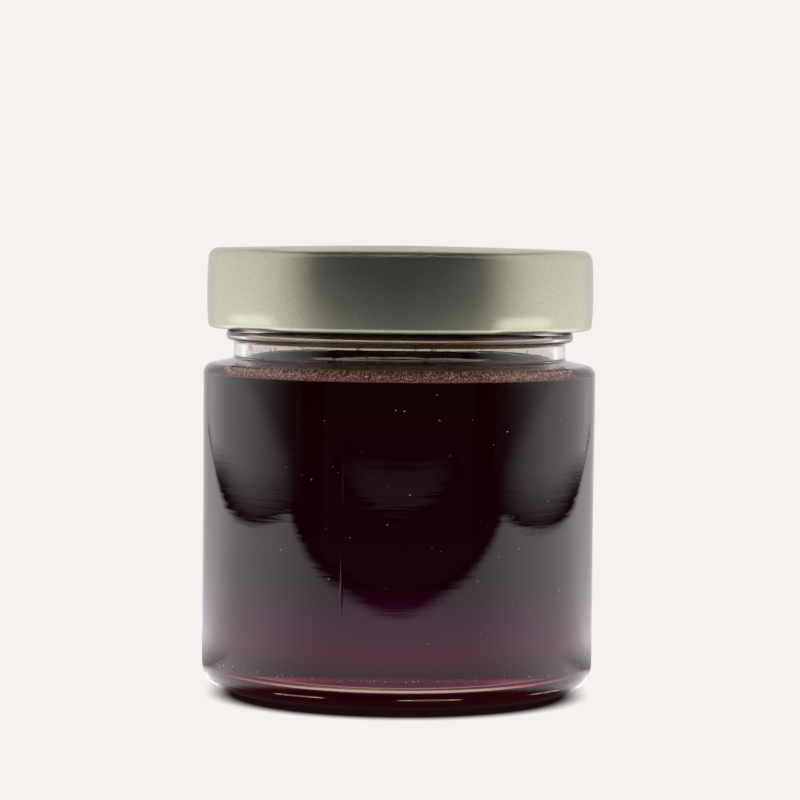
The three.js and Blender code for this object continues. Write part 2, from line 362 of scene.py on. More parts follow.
# %% Glass jar
# A seam is far narrower than the mesh's even steps, so a few more azimuths are set close to it.
near_seam = np.radians([-0.6, -0.36, -0.18, 0.0, 0.18, 0.36, 0.6])
seam_azimuths = np.concatenate([SEAM_AZIMUTH + near_seam, SEAM_AZIMUTH + math.pi + near_seam])
glass_azimuths = np.sort(np.concatenate([evenly_round(320), np.mod(seam_azimuths, 2.0 * math.pi)]))
glass_profile = join(outside_of_glass(), inside_of_glass())
glass_points, glass_faces = turned(glass_profile, glass_azimuths, glass_relief)
glass = new_piece("jar_glass", glass_points, glass_faces)
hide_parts("glass_jar")

# %% [markdown]
# ## The honey
# Honey wets the glass. A surface that lay exactly on the wall would flicker, and one that lay a
# little inside it would show a bright gap of air, so the honey reaches a hair into the wall.

# %% Honey
HONEY_OVERLAP = 0.12
HONEY_DIP = 0.1  # the level is this much lower at the middle than at the wall


def honey_profile():
    """The cavity's outline moved out by the overlap, closed by the level surface."""
    cavity = CAVITY_RADIUS + HONEY_OVERLAP
    low = CAVITY_FLOOR_MIDDLE - HONEY_OVERLAP
    crown_foot = (FLOOR_CROWN_FOOT[0], FLOOR_CROWN_FOOT[1] - HONEY_OVERLAP)
    round_top = INNER_SHOULDER_ROUND + HONEY_OVERLAP
    top_angle = math.degrees(math.asin((HONEY_LEVEL - SHOULDER_CENTRE[1]) / round_top))
    return join(
        bow((0.0, low), (FLOOR_CROWN_BEND, low), crown_foot, 8),
        arc(*CORNER_CENTRE, CAVITY_CORNER + HONEY_OVERLAP, -90, 0, 20),
        straight((cavity, CORNER_CENTRE[1]), (cavity, SHOULDER_CENTRE[1]), 6),
        arc(*SHOULDER_CENTRE, round_top, 0, top_angle, 10),
        straight((SHOULDER_CENTRE[0], HONEY_LEVEL), (0.0, HONEY_LEVEL - HONEY_DIP), 10),
    )


honey_points, honey_faces = turned(honey_profile(), evenly_round(192))
honey = new_piece("honey_fill", honey_points, honey_faces)
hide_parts("honey")

# %% [markdown]
# ## The lid
# A twist-off lid is one disc of tinplate drawn into a cap. Its raw edge is rolled into a curl, and
# at four places the curl is pressed inwards into a lug that grips under a thread. A profile draws
# sheet, curl and top at once, and the lugs are a change of its radius with the azimuth.

# %% Lid
LID_SHEET = 0.42
LID_TAPER = 0.15
LID_BARREL = 0.30  # the skirt swells a little between its two ends
LID_CORNER = 2.0
LID_CROWN = 0.65
CURL_RADIUS = 0.95
LUG_HALF_ANGLE = math.radians(13.0)
LUG_PRESS_OUTSIDE, LUG_PRESS_INSIDE = 0.25, 1.9
LUG_FADE_HEIGHT = 3.4  # above this height over the lid's edge the skirt is round again
LID_FLAT_RADIUS = 12.0  # the top's bow is drawn towards a point at this radius
LID_SIDE_RADIUS = LID_RADIUS - LID_TAPER


def lid_profile():
    """From the middle of the lid's inside, round the curl, up the skirt and over the top."""
    corner = LID_SIDE_RADIUS - LID_CORNER
    edge = LID_TOP - LID_CROWN
    corner_height = edge - LID_CORNER
    curl_centre = LID_BOTTOM + CURL_RADIUS
    inside_top = LID_TOP - LID_SHEET
    inside_radius = LID_RADIUS - LID_SHEET
    fade = LID_BOTTOM + LUG_FADE_HEIGHT
    skirt_foot = (LID_SIDE_RADIUS, curl_centre)
    skirt_top = (LID_SIDE_RADIUS, corner_height)
    swell = (LID_RADIUS + LID_BARREL, (curl_centre + edge - LID_CORNER) / 2.0)
    return join(
        bow((0.0, inside_top), (LID_FLAT_RADIUS, inside_top), (corner, edge - LID_SHEET), 24),
        arc(corner, corner_height, LID_CORNER - LID_SHEET, 90, 0, 14),
        straight((LID_SIDE_RADIUS - LID_SHEET, corner_height), (inside_radius, fade), 6),
        straight((inside_radius, fade), (inside_radius - 0.05, LID_BOTTOM + 1.8), 8),
        arc(LID_SIDE_RADIUS - CURL_RADIUS, curl_centre, CURL_RADIUS, 60, 360, 44),
        bow(skirt_foot, swell, skirt_top, 32),
        arc(corner, corner_height, LID_CORNER, 0, 90, 24),
        bow((corner, edge), (LID_FLAT_RADIUS, LID_TOP), (0.0, LID_TOP), 24),
    )


def lug_press(azimuth, radius, height):
    """How far a lug pulls the skirt in: full at its middle, none past its ends or above it."""
    share = 1.0 - ease(np.abs(turn_from_lug(azimuth)), LUG_HALF_ANGLE * 0.45, LUG_HALF_ANGLE)
    inward = (LID_RADIUS - radius) / (2.0 * CURL_RADIUS)
    press = LUG_PRESS_OUTSIDE + (LUG_PRESS_INSIDE - LUG_PRESS_OUTSIDE) * inward
    fade = 1.0 - ease(height, LID_BOTTOM + CURL_RADIUS, LID_BOTTOM + LUG_FADE_HEIGHT)
    on_skirt = radius > LID_SIDE_RADIUS - LID_CORNER - CURL_RADIUS
    return np.where(on_skirt, -press * fade * share, 0.0), 0.0


lid_points, lid_faces = turned(lid_profile(), evenly_round(288), lug_press)
lid = new_piece("lid_tinplate", lid_points, lid_faces)
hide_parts("lid")

# %% [markdown]
# ## Froth
# Where the honey meets the glass, a collar of fine froth clings under the shoulder. Seen from
# outside it is a pale band with a ragged lower edge. Thousands of small balls could make it, but
# seen through the wall only their sum shows, so it is one closed skin along the inner wall. Its
# outer face reaches just into the glass, and its inner face swells and sinks at random.

# %% Froth collar
FROTH_SEED = 7
FROTH_SEGMENTS = 720
FROTH_THICKNESS = 0.55
FROTH_DEPTH = 0.05  # how far the froth hangs below the honey's level, on average
FROTH_LEAST_DEPTH = 0.02
FROTH_OVERLAP = 0.06  # how far its outer face reaches into the glass
OUTER_ROWS, INNER_ROWS = 13, 8
random = np.random.default_rng(FROTH_SEED)


def wandering(azimuth, waves, count):
    """Smooth random values round the axis: a sum of count sines of falling height."""
    periods = random.integers(waves[0], waves[1], count)
    starts = random.uniform(0.0, 2.0 * math.pi, count)
    heights = random.uniform(0.4, 1.0, count)
    sines = heights[:, None] * np.sin(periods[:, None] * azimuth + starts[:, None])
    return sines.sum(axis=0) / heights.sum()


def froth_ring():
    """Vertices and faces of the collar: a closed loop of points at each azimuth.

    The loop follows the shoulder's inner arc up, runs in under the shoulder, and comes back along
    an arc that is smaller by the froth's thickness.
    """
    azimuth = evenly_round(FROTH_SEGMENTS)
    slow, fine = wandering(azimuth, (3, 12), 6), wandering(azimuth, (40, 170), 24)
    hang = FROTH_DEPTH * (1.0 + 1.2 * slow + 1.6 * fine)
    bottom = HONEY_LEVEL - np.maximum(hang, FROTH_LEAST_DEPTH)
    corner, centre = SHOULDER_CENTRE
    reach = BORE_RADIUS + BORE_FILLET - 0.6 + 0.6 * wandering(azimuth, (20, 120), 16)
    wall = INNER_SHOULDER_ROUND + FROTH_OVERLAP
    start = np.arcsin((bottom - centre) / wall)
    rows = []
    for share in np.linspace(0.0, 1.0, OUTER_ROWS):
        turn = start * (1.0 - share) + math.pi / 2.0 * share
        rows.append((corner + wall * np.cos(turn), centre + wall * np.sin(turn)))
    rows.append((reach, np.full_like(azimuth, centre + wall)))
    inner = wall - FROTH_THICKNESS
    rough = 0.16 * wandering(azimuth, (60, 200), 30)
    rows.append((reach + 0.1, centre + inner + 0.3 + rough))
    for share in np.linspace(0.9, 0.05, INNER_ROWS):
        turn = start * (1.0 - share) + math.pi / 2.0 * share
        bumpy = inner + 0.14 * wandering(azimuth, (60, 220), 30)
        rows.append((corner + bumpy * np.cos(turn), centre + bumpy * np.sin(turn)))
    radius = np.stack([row[0] for row in rows])
    height = np.stack([row[1] for row in rows])
    grid = np.stack([radius * np.sin(azimuth), -radius * np.cos(azimuth), height], axis=2)
    index = np.arange(grid.shape[0] * FROTH_SEGMENTS).reshape(grid.shape[:2])
    ahead = np.roll(index, -1, axis=1)
    above = np.roll(index, -1, axis=0)
    across = np.roll(ahead, -1, axis=0)
    quads = np.stack([index, ahead, across, above], axis=2).reshape(-1, 4)
    return grid.reshape(-1, 3), quads.tolist()


froth = new_piece("froth_collar", *froth_ring())

# %% [markdown]
# ## Bubbles
# A few tiny air bubbles hang in the honey just behind the glass, and more have settled in a row at
# the foot of the wall. At this size a bubble shows as a point of light, so each is a small ball of
# twenty faces, and all of them are one mesh.

# %% Bubbles
GOLDEN = (1.0 + math.sqrt(5.0)) / 2.0
LOOSE_BUBBLES, SETTLED_BUBBLES = 110, 100
LARGER_BUBBLES = 5


def ball():
    """Corners and faces of a regular solid with twenty sides and radius 1."""
    sides = [(a, b * GOLDEN) for a in (-1.0, 1.0) for b in (-1.0, 1.0)]
    corners = [(0.0, a, b) for a, b in sides] + [(a, b, 0.0) for a, b in sides]
    corners = np.array(corners + [(b, 0.0, a) for a, b in sides])
    corners /= np.linalg.norm(corners[0])
    shape = bmesh.new()
    points = [shape.verts.new(corner) for corner in corners]
    bmesh.ops.convex_hull(shape, input=points)
    bmesh.ops.recalc_face_normals(shape, faces=shape.faces)
    shape.verts.index_update()
    faces = np.array([[vert.index for vert in face.verts] for face in shape.faces])
    points = np.array([vert.co[:] for vert in shape.verts])
    shape.free()
    return points, faces


def scattered_balls(azimuth, height, depth, size):
    """Balls behind the wall: centre at the wall's radius less its depth, radius from size (mm)."""
    corners, faces = ball()
    radius = CAVITY_RADIUS - depth
    centre = np.stack([radius * np.sin(azimuth), -radius * np.cos(azimuth), height], axis=1)
    points = centre[:, None, :] + corners[None, :, :] * size[:, None, None]
    shift = np.arange(len(azimuth))[:, None, None] * len(corners)
    return points.reshape(-1, 3), (faces[None, :, :] + shift).reshape(-1, 3).tolist()


def bubble_places():
    """Most bubbles are spread over the wall, and the rest lie in a row round its foot."""
    loose, settled = LOOSE_BUBBLES, SETTLED_BUBBLES
    azimuth = random.uniform(0.0, 2.0 * math.pi, loose + settled)
    share = random.uniform(0.0, 1.0, loose)
    floating = 12.0 + 46.0 * share**0.85
    resting = random.normal(5.5, 0.25, settled)
    height = np.concatenate([floating, resting])
    below_centre = CORNER_CENTRE[1] - resting
    depth = random.uniform(0.12, 0.3, loose + settled)
    depth[loose:] += CAVITY_CORNER - np.sqrt(CAVITY_CORNER**2 - below_centre**2)
    size = np.concatenate([random.uniform(0.07, 0.15, loose), random.uniform(0.07, 0.13, settled)])
    size[random.integers(0, loose, LARGER_BUBBLES)] *= 1.5
    return azimuth, height, depth, size


bubbles = new_piece("honey_bubbles", *scattered_balls(*bubble_places()))

# %% [markdown]
# ## Materials
# Each finish is a Principled shader with a few nodes in front of it. Small helpers place the nodes,
# so that a finish reads as a short list. Colours that were judged are given as they read in a
# picture, and one function turns them into linear light.


# %% Material helpers
def linear(red, green, blue):
    """Linear light from the 0 to 255 values of a picture, by the sRGB curve."""
    shade = np.array([red, green, blue]) / 255.0
    low = shade / 12.92
    high = ((shade + 0.055) / 1.055) ** 2.4
    return (*np.where(shade <= 0.04045, low, high).tolist(), 1.0)


def new_material(name):
    """A material with its Principled shader, ready for values and links."""
    material = bpy.data.materials.new(name)
    material.use_nodes = True
    return material, material.node_tree, material.node_tree.nodes["Principled BSDF"]


def set_inputs(node, **values):
    """Sets sockets by name: an underscore in a keyword stands for a space."""
    for key, value in values.items():
        node.inputs[key.replace("_", " ")].default_value = value


def object_point(tree):
    """The socket that gives a point's place on its own object, in metres."""
    return tree.nodes.new("ShaderNodeTexCoord").outputs["Object"]


def height_of(tree):
    """The socket that gives a point's height on its object, in metres."""
    parts = tree.nodes.new("ShaderNodeSeparateXYZ")
    tree.links.new(object_point(tree), parts.inputs["Vector"])
    return parts.outputs["Z"]


def feed(tree, socket, value):
    """Gives a socket its value: another socket is linked to it, and a number or colour is set."""
    if isinstance(value, bpy.types.NodeSocket):
        tree.links.new(value, socket)
    else:
        socket.default_value = value


def softly(tree, value, low, high, bottom=0.0, top=1.0):
    """The socket of a soft step: bottom where value is under low, top where it is over high."""
    step = tree.nodes.new("ShaderNodeMapRange")
    step.interpolation_type = "SMOOTHSTEP"
    labels = ("Value", "From Min", "From Max", "To Min", "To Max")
    for label, content in zip(labels, (value, low, high, bottom, top)):
        feed(tree, step.inputs[label], content)
    return step.outputs["Result"]


def figure(tree, operation, first, second=0.0):
    """The socket of one Math node. Each input is a socket or a number."""
    node = tree.nodes.new("ShaderNodeMath")
    node.operation = operation
    for socket, value in zip(node.inputs, (first, second)):
        feed(tree, socket, value)
    return node.outputs["Value"]


def chain(tree, operation, first, *others):
    """One Math node after another: the first value with the second, that with the third, and so on."""
    outcome = first
    for value in others:
        outcome = figure(tree, operation, outcome, value)
    return outcome


def mixed(tree, factor, first, second, blend="MIX"):
    """The socket of a mix of two colours, each a socket or a colour."""
    node = tree.nodes.new("ShaderNodeMix")
    node.data_type = "RGBA"
    node.blend_type = blend
    for label, content in (("Factor", factor), ("A", first), ("B", second)):
        feed(tree, node.inputs[label], content)
    return node.outputs["Result"]


def ramp(tree, value, stops):
    """The socket of a colour ramp. stops is a list of (place, colour)."""
    node = tree.nodes.new("ShaderNodeValToRGB")
    elements = node.color_ramp.elements
    elements.remove(elements[1])
    elements[0].position, elements[0].color = stops[0]
    for place, colour in stops[1:]:
        elements.new(place).color = colour
    tree.links.new(value, node.inputs["Fac"])
    return node.outputs["Color"]


def new_group(name, numbers, outputs):
    """A shader node group with number inputs (name: value) and outputs (name: socket kind)."""
    group = bpy.data.node_groups.new(name, "ShaderNodeTree")
    for label, value in numbers.items():
        socket = group.interface.new_socket(label, in_out="INPUT", socket_type="NodeSocketFloat")
        socket.default_value = value
    for label, kind in outputs.items():
        group.interface.new_socket(label, in_out="OUTPUT", socket_type=kind)
    return group, group.nodes.new("NodeGroupInput"), group.nodes.new("NodeGroupOutput")


def place_group(tree, group, **values):
    """Puts a group into a material with its own values."""
    node = tree.nodes.new("ShaderNodeGroup")
    node.node_tree = group
    set_inputs(node, **values)
    return node


# %% [markdown]
# Two effects are used by more than one finish, so each is a node group with named inputs. Ripple is
# the slow waviness of a surface that was hot when it was shaped, and its depth in metres goes to a
# bump. Speckle is a fine two-tone grain. Both read a noise in the object's own coordinates.

# %% Ripple
ripple, given, result = new_group(
    "ripple",
    {"Across": 90.0, "Upright": 500.0, "Depth": 1e-5, "Detail": 3.0},
    {"Normal": "NodeSocketVector"},
)
stretch = ripple.nodes.new("ShaderNodeCombineXYZ")
for axis, label in zip("XYZ", ("Across", "Across", "Upright")):
    ripple.links.new(given.outputs[label], stretch.inputs[axis])
spread = ripple.nodes.new("ShaderNodeVectorMath")
spread.operation = "MULTIPLY"
ripple.links.new(object_point(ripple), spread.inputs[0])
ripple.links.new(stretch.outputs["Vector"], spread.inputs[1])
waves = ripple.nodes.new("ShaderNodeTexNoise")
set_inputs(waves, Scale=1.0, Roughness=0.45)
ripple.links.new(given.outputs["Detail"], waves.inputs["Detail"])
ripple.links.new(spread.outputs["Vector"], waves.inputs["Vector"])
lift = ripple.nodes.new("ShaderNodeBump")
ripple.links.new(given.outputs["Depth"], lift.inputs["Distance"])
ripple.links.new(waves.outputs["Fac"], lift.inputs["Height"])
ripple.links.new(lift.outputs["Normal"], result.inputs["Normal"])

# %% Speckle
speckle, given, result = new_group(
    "speckle",
    {"Scale": 2000.0, "Low": 0.4, "High": 0.6},
    {"Mask": "NodeSocketFloat"},
)
grain = speckle.nodes.new("ShaderNodeTexNoise")
set_inputs(grain, Detail=2.0, Roughness=0.6)
speckle.links.new(object_point(speckle), grain.inputs["Vector"])
speckle.links.new(given.outputs["Scale"], grain.inputs["Scale"])
grain_step = softly(speckle, grain.outputs["Fac"], given.outputs["Low"], given.outputs["High"])
speckle.links.new(grain_step, result.inputs["Mask"])

# %% [markdown]
# The glass is clear, with a trace of ripple, and a trace of colour where light goes a long way
# through it. Inside, its wall has two more finishes. Below the honey's level it is wetted, so light
# passes from glass to honey without bending. In the neck a thin film of honey was left by the
# filling. It tints the light brown where it is thick, and lower down it has all but run off.

# %% Clear glass
# The volume's colour and density are plain values, because the export keeps only those.
glass_material, glass_tree, glass_shader = new_material("clear_glass")
set_inputs(glass_shader, Roughness=0.0, IOR=1.52, Transmission_Weight=1.0)
glass_shader.inputs["Base Color"].default_value = (0.985, 0.99, 0.985, 1.0)
glass_ripple = place_group(glass_tree, ripple, Across=60.0, Upright=900.0, Depth=3.5e-6, Detail=2.0)
glass_tree.links.new(glass_ripple.outputs["Normal"], glass_shader.inputs["Normal"])
glass_absorb = glass_tree.nodes.new("ShaderNodeVolumeAbsorption")
glass_absorb.inputs["Color"].default_value = (0.92, 0.91, 0.86, 1.0)
glass_absorb.inputs["Density"].default_value = 100.0
glass_output = glass_tree.nodes["Material Output"]
glass_tree.links.new(glass_absorb.outputs["Volume"], glass_output.inputs["Volume"])
glass.data.materials.append(glass_material)

wet_material, _, wet_shader = new_material("wetted_glass")
wet_shader.inputs["Base Color"].default_value = (1.0, 1.0, 1.0, 1.0)
set_inputs(wet_shader, Roughness=0.0, IOR=1.0, Transmission_Weight=1.0)
glass.data.materials.append(wet_material)

# %% Honey film in the neck
FILM_FADE = (0.0660, 0.0675)  # m, the heights between which the thick film begins
CLEAN_FILM, FILM_SPECK = (0.97, 0.92, 0.91, 1.0), (0.30, 0.13, 0.08, 1.0)
film_material, film_tree, film_shader = new_material("filmed_glass")
set_inputs(film_shader, Roughness=0.0, IOR=1.50, Transmission_Weight=1.0)
film_ripple = place_group(film_tree, ripple, Across=90.0, Upright=500.0, Depth=1e-5)
film_tree.links.new(film_ripple.outputs["Normal"], film_shader.inputs["Normal"])
film_thick = place_group(film_tree, speckle, Scale=45.0, Low=0.38, High=0.66)
film_colour = ramp(
    film_tree,
    film_thick.outputs["Mask"],
    [
        (0.0, (0.95, 0.88, 0.85, 1.0)),
        (0.45, (0.85, 0.60, 0.50, 1.0)),
        (0.75, (0.60, 0.28, 0.16, 1.0)),
        (1.0, (0.78, 0.14, 0.06, 1.0)),
    ],
)
film_specks = place_group(film_tree, speckle, Scale=420.0, Low=0.60, High=0.68)
film_low = ramp(film_tree, film_specks.outputs["Mask"], [(0.0, CLEAN_FILM), (1.0, FILM_SPECK)])
film_height = softly(film_tree, height_of(film_tree), *FILM_FADE)
film_tint = mixed(film_tree, film_height, film_low, film_colour)
film_tree.links.new(film_tint, film_shader.inputs["Base Color"])
glass.data.materials.append(film_material)


def mark_inner_wall():
    """Gives the inner faces below the honey's level one material, and those of the neck another."""
    mesh = glass.data
    centre = np.empty(len(mesh.polygons) * 3)
    mesh.polygons.foreach_get("center", centre)
    centre = centre.reshape(-1, 3) / MM
    radius = np.hypot(centre[:, 0], centre[:, 1])
    near = 0.05
    inside = (radius < CAVITY_RADIUS + near) & (centre[:, 2] > CAVITY_FLOOR_EDGE - near)
    wet = inside & (centre[:, 2] < HONEY_LEVEL)
    film = (radius < BORE_RADIUS + BORE_FILLET) & (centre[:, 2] > HONEY_LEVEL)
    finish = np.where(wet, 1, np.where(film, 2, 0))
    mesh.polygons.foreach_set("material_index", finish.astype(np.int32))
    print(f"{int(wet.sum())} faces are wetted and {int(film.sum())} have a film of honey")


mark_inner_wall()

# %% [markdown]
# The honey is so dark a red that a finger's breadth of it is black, and absorption gives it that
# depth. What light it scatters back is faint, and grows towards the floor, where the table shines
# into it. True scattering would take very long to render and the export can't keep it, so a weak
# glow whose colour goes by height stands in for it.

# %% Honey colour
honey_material, honey_tree, honey_shader = new_material("dark_honey")
honey_shader.inputs["Base Color"].default_value = (1.0, 1.0, 1.0, 1.0)
set_inputs(honey_shader, Roughness=0.0, IOR=1.0, Transmission_Weight=1.0)
absorb = honey_tree.nodes.new("ShaderNodeVolumeAbsorption")
absorb.inputs["Color"].default_value = (0.62, 0.02, 0.38, 1.0)
absorb.inputs["Density"].default_value = 400.0
honey_output = honey_tree.nodes["Material Output"]
honey_tree.links.new(absorb.outputs["Volume"], honey_output.inputs["Volume"])
HONEY_GLOW = [
    (0.00, (0.022, 0.0004, 0.001, 1.0)),
    (0.068, (0.022, 0.0004, 0.001, 1.0)),
    (0.085, (0.012, 0.0006, 0.004, 1.0)),
    (0.13, (0.026, 0.0008, 0.011, 1.0)),
    (0.16, (0.052, 0.0008, 0.017, 1.0)),
    (0.22, (0.042, 0.0004, 0.019, 1.0)),
    (0.31, (0.024, 0.0004, 0.012, 1.0)),
    (0.38, (0.009, 0.0002, 0.003, 1.0)),
    (1.00, (0.006, 0.0002, 0.0005, 1.0)),
]
# Each stop is a share of the honey's height and the linear light that it gives there.
honey_share = figure(honey_tree, "DIVIDE", height_of(honey_tree), HONEY_LEVEL * MM)
honey_tree.links.new(ramp(honey_tree, honey_share, HONEY_GLOW), honey_shader.inputs["Emission Color"])
set_inputs(honey_shader, Emission_Strength=1.0)
honey.data.materials.append(honey_material)

# %% [markdown]
# The honey's level top meets air, and not glass, so it has a finish of its own: brown, with a thin
# broken foam on it. The froth's colour is painted darker above its lower edge, as shade, because
# light comes through the wall only there. Light that wanders in froth comes out again all over it,
# and a weak painted glow of its own colour stands for that.

# %% Honey surface
surface_material, surface_tree, surface_shader = new_material("honey_surface")
set_inputs(surface_shader, Roughness=0.6, IOR=1.3)
surface_foam = place_group(surface_tree, speckle, Scale=900.0, Low=0.4, High=0.7).outputs["Mask"]
surface_stops = [(0.0, linear(44, 20, 18)), (1.0, linear(84, 50, 44))]
surface_colour = ramp(surface_tree, surface_foam, surface_stops)
surface_tree.links.new(surface_colour, surface_shader.inputs["Base Color"])
honey.data.materials.append(surface_material)


def mark_level_surface():
    """Gives the honey's level top its own material, because there it meets air and not glass."""
    normal = np.empty(len(honey.data.polygons) * 3)
    honey.data.polygons.foreach_get("normal", normal)
    level = normal.reshape(-1, 3)[:, 2] > 0.99
    honey.data.polygons.foreach_set("material_index", level.astype(np.int32))
    print(f"{int(level.sum())} faces are the level surface")


mark_level_surface()

# %% Froth finish
# Painted shade: above these heights the froth's colour, and so its painted glow, is multiplied darker.
FROTH_SHADE_FADE = (0.0603, 0.0610)  # m, the heights between which the froth grows darker
FROTH_UPPER_SHADE = (0.40, 0.36, 0.36, 1.0)  # what its colour is multiplied by above them
froth_material, froth_tree, froth_shader = new_material("fine_froth")
set_inputs(froth_shader, Roughness=0.45, IOR=1.4, Coat_Weight=0.3, Emission_Strength=0.2)
froth_grain = place_group(froth_tree, speckle, Scale=5200.0, Low=0.36, High=0.66)
froth_colour = ramp(
    froth_tree,
    froth_grain.outputs["Mask"],
    [(0.0, linear(96, 48, 38)), (0.6, linear(150, 92, 72)), (1.0, linear(230, 190, 170))],
)
froth_shade_step = softly(froth_tree, height_of(froth_tree), *FROTH_SHADE_FADE)
froth_shaded_colour = mixed(froth_tree, froth_shade_step, froth_colour, FROTH_UPPER_SHADE, "MULTIPLY")
for label in ("Base Color", "Emission Color"):
    froth_tree.links.new(froth_shaded_colour, froth_shader.inputs[label])
froth_ripple = place_group(froth_tree, ripple, Across=2600.0, Upright=2600.0, Depth=8e-5)
froth_tree.links.new(froth_ripple.outputs["Normal"], froth_shader.inputs["Normal"])
froth.data.materials.append(froth_material)

# %% Bubble finish
# Some bubbles catch a lamp and some don't, so a painted glint, an emission, goes by a slow speckle
# over the whole jar.
bubble_material, bubble_tree, bubble_shader = new_material("air_bubble")
set_inputs(bubble_shader, Roughness=0.3, Emission_Strength=1.0)
bubble_shader.inputs["Base Color"].default_value = linear(226, 214, 220)
bubble_glint_mask = place_group(bubble_tree, speckle, Scale=150.0, Low=0.45, High=0.6)
bubble_painted_glint = ramp(
    bubble_tree,
    bubble_glint_mask.outputs["Mask"],
    [(0.0, (0.05, 0.02, 0.03, 1.0)), (1.0, (0.30, 0.24, 0.26, 1.0))],
)
bubble_tree.links.new(bubble_painted_glint, bubble_shader.inputs["Emission Color"])
bubbles.data.materials.append(bubble_material)

# %% [markdown]
# The lid is tin over steel under a gold lacquer, and its sheet was rolled, so it has a fine grain and
# long shallow scratches. A scratch is thin across and long along, so the pattern is a noise that is
# squeezed in one direction and turned. They are kept faint, because strong ones look like blotches.

# %% Scratches
SCRATCH_SIZE = (1.0 / 420.0, 1.0 / 420.0, 1.0 / 9000.0)  # m, two long sides and a narrow one
scratch, given, result = new_group(
    "scratch",
    {"Tilt": 0.6, "Turn": 0.4, "Low": 0.66, "High": 0.74},
    {"Mask": "NodeSocketFloat"},
)
angles = scratch.nodes.new("ShaderNodeCombineXYZ")
scratch.links.new(given.outputs["Tilt"], angles.inputs["X"])
scratch.links.new(given.outputs["Turn"], angles.inputs["Z"])
turned_grid = scratch.nodes.new("ShaderNodeMapping")
turned_grid.vector_type = "TEXTURE"
turned_grid.inputs["Scale"].default_value = SCRATCH_SIZE
scratch.links.new(object_point(scratch), turned_grid.inputs["Vector"])
scratch.links.new(angles.outputs["Vector"], turned_grid.inputs["Rotation"])
lines = scratch.nodes.new("ShaderNodeTexNoise")
set_inputs(lines, Scale=1.0, Detail=2.0, Roughness=0.5)
scratch.links.new(turned_grid.outputs["Vector"], lines.inputs["Vector"])
line_step = softly(scratch, lines.outputs["Fac"], given.outputs["Low"], given.outputs["High"])
scratch.links.new(line_step, result.inputs["Mask"])

# %% Lid finish
LID_ROUGHNESS, CLOUD_SHARE, SCRATCH_SHARE = 0.31, 0.04, 0.02
lid_material, lid_tree, lid_shader = new_material("gold_tinplate")
set_inputs(lid_shader, Metallic=1.0, Anisotropic=0.7, Anisotropic_Rotation=0.25)
scratch_one = place_group(lid_tree, scratch, Tilt=0.55, Turn=0.5, Low=0.56, High=0.80).outputs["Mask"]
scratch_two = place_group(lid_tree, scratch, Tilt=-0.8, Turn=-0.9, Low=0.60, High=0.82).outputs["Mask"]
all_scratches = figure(lid_tree, "MAXIMUM", scratch_one, scratch_two)
lid_grain = place_group(lid_tree, speckle, Scale=2600.0, Low=0.3, High=0.7).outputs["Mask"]
lid_cloud = place_group(lid_tree, speckle, Scale=70.0, Low=0.35, High=0.65).outputs["Mask"]
lid_tint = figure(lid_tree, "MULTIPLY", lid_grain, 0.7)
lid_colour = ramp(
    lid_tree,
    lid_tint,
    [(0.0, (0.455, 0.465, 0.345, 1.0)), (1.0, (0.56, 0.572, 0.42, 1.0))],
)
lid_tree.links.new(lid_colour, lid_shader.inputs["Base Color"])
cloudy = figure(lid_tree, "MULTIPLY", lid_cloud, CLOUD_SHARE)
scratched = figure(lid_tree, "MULTIPLY", all_scratches, SCRATCH_SHARE)
lid_rough = chain(lid_tree, "ADD", cloudy, LID_ROUGHNESS, scratched)
lid_tree.links.new(lid_rough, lid_shader.inputs["Roughness"])
relief = figure(lid_tree, "SUBTRACT", figure(lid_tree, "MULTIPLY", lid_grain, 0.25), all_scratches)
lid_bump = lid_tree.nodes.new("ShaderNodeBump")
set_inputs(lid_bump, Distance=1e-6, Strength=1.0)
lid_tree.links.new(relief, lid_bump.inputs["Height"])
lid_tree.links.new(lid_bump.outputs["Normal"], lid_shader.inputs["Normal"])
lid.data.materials.append(lid_material)

# %% [markdown]
# ## The studio
# What a glossy thing looks like is mostly what stands round it. The picture's reflections tell the
# set apart: a white table that ends a little in front of the jar, a soft wall of light at each side
# of the table, a pale wall behind with a light over it, a faint strip of floor in front, a row of
# small lamps high in front, and else nothing but dark. Each is a glowing card, because a card can
# fade out towards its edges, and soft edges are what tell a window from a hole in a reflection.

# %% Stage cards
PAPER = linear(246, 241, 238)
WHITE = (1.03, 0.98, 1.02, 1.0)
SET_X, SET_BACK = (-0.42, 0.41), 0.66  # m, where the side walls and the back wall stand
TABLE_HEIGHT = -1e-4  # a hair under the jar, so that no two surfaces lie in one plane


def emitter(name, corners, colour, strength=1.0, seen_by_camera=False):
    """A glowing card that is part of the stage, from its four corners in metres."""
    mesh = bpy.data.meshes.new(name)
    mesh.from_pydata(corners, [], [(0, 1, 2, 3)])
    card = bpy.data.objects.new(name, mesh)
    bpy.context.scene.collection.objects.link(card)
    material = bpy.data.materials.new(name)
    material.use_nodes = True
    tree = material.node_tree
    tree.nodes.clear()
    glow = tree.nodes.new("ShaderNodeEmission")
    glow.inputs["Color"].default_value = colour
    glow.inputs["Strength"].default_value = strength
    out = tree.nodes.new("ShaderNodeOutputMaterial")
    tree.links.new(glow.outputs["Emission"], out.inputs["Surface"])
    mesh.materials.append(material)
    card.visible_camera = seen_by_camera
    card.visible_shadow = False
    return card, tree, glow


def level_card(name, x, y, z, strength=1.0):
    """A level white card between two x values and two y values at height z."""
    corners = [(x[0], y[0], z), (x[1], y[0], z), (x[1], y[1], z), (x[0], y[1], z)]
    _, tree, glow = emitter(name, corners, WHITE, strength)
    return tree, glow


def upright_card(name, x, y, z, strength=1.0):
    """An upright white card over the line from (x0, y0) to (x1, y1), between two heights."""
    corners = [(x[0], y[0], z[0]), (x[1], y[1], z[0]), (x[1], y[1], z[1]), (x[0], y[0], z[1])]
    _, tree, glow = emitter(name, corners, WHITE, strength)
    return tree, glow


